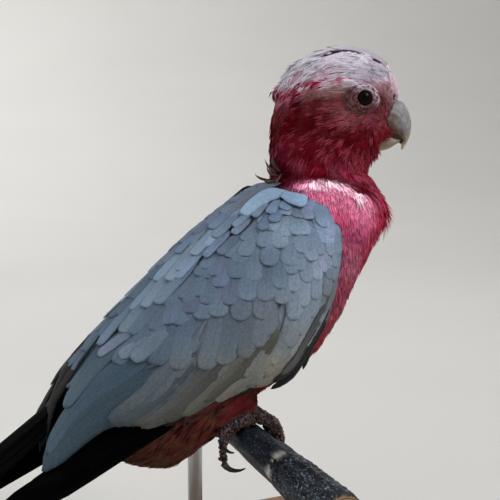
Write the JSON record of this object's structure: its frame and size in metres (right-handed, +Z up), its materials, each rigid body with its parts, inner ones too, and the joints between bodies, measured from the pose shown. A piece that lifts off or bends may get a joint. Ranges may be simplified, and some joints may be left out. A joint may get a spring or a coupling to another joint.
{
  "type": "galah model on a perch",
  "caption": "Life-size still model of a galah cockatoo, wings folded and head turned to its right, gripping a short cut branch on a plain base with two rods.",
  "frame": {"origin": "centre of the flat underside of the stand's base, on the floor under the branch", "axes": "+X the way the body faces, +Y to the bird's left along the branch, +Z up"},
  "size_m": [0.2615, 0.202, 0.2806],
  "materials": {
    "plumage_rose": "soft, matt body feathers, rose to maroon",
    "plumage_crown": "soft, pale pinkish white crown feathers",
    "plumage_grey": "matt blue-grey wing coverts and secondaries",
    "flight_feathers": "dark slate flight feathers with a faint sheen",
    "bill": "satin grey horn with a brownish lower edge",
    "eye": "glossy dark eye",
    "bare_skin": "matt, finely wrinkled pinkish grey skin",
    "scaled_skin": "small horny scales, dark grey-brown",
    "claw": "satin dark horn",
    "bark": "dark weathered bark with pale scuffs",
    "base_wood": "satin stained hardwood",
    "rod_steel": "brushed"
  },
  "bodies": {
    "root": {"trunk": "plumage_rose", "neck": "plumage_rose", "head": "plumage_rose", "crest": "plumage_crown", "bill_upper": "bill", "bill_lower": "bill", "tail": "flight_feathers", "eye_left": "eye", "eye_ring_left": "bare_skin", "wing_left": "plumage_grey", "primaries_left": "flight_feathers", "leg_left": "plumage_rose", "foot_left": "scaled_skin", "toe_left_inner_front": "scaled_skin", "claw_left_inner_front": "claw", "toe_left_outer_front": "scaled_skin", "claw_left_outer_front": "claw", "toe_left_inner_back": "scaled_skin", "claw_left_inner_back": "claw", "toe_left_outer_back": "scaled_skin", "claw_left_outer_back": "claw", "eye_right": "eye", "eye_ring_right": "bare_skin", "wing_right": "plumage_grey", "primaries_right": "flight_feathers", "leg_right": "plumage_rose", "foot_right": "scaled_skin", "toe_right_inner_front": "scaled_skin", "claw_right_inner_front": "claw", "toe_right_outer_front": "scaled_skin", "claw_right_outer_front": "claw", "toe_right_inner_back": "scaled_skin", "claw_right_inner_back": "claw", "toe_right_outer_back": "scaled_skin", "claw_right_outer_back": "claw", "perch": "bark", "stand_base": "base_wood", "stand_rod_near": "rod_steel", "stand_rod_far": "rod_steel"}
  },
  "joints": []
}
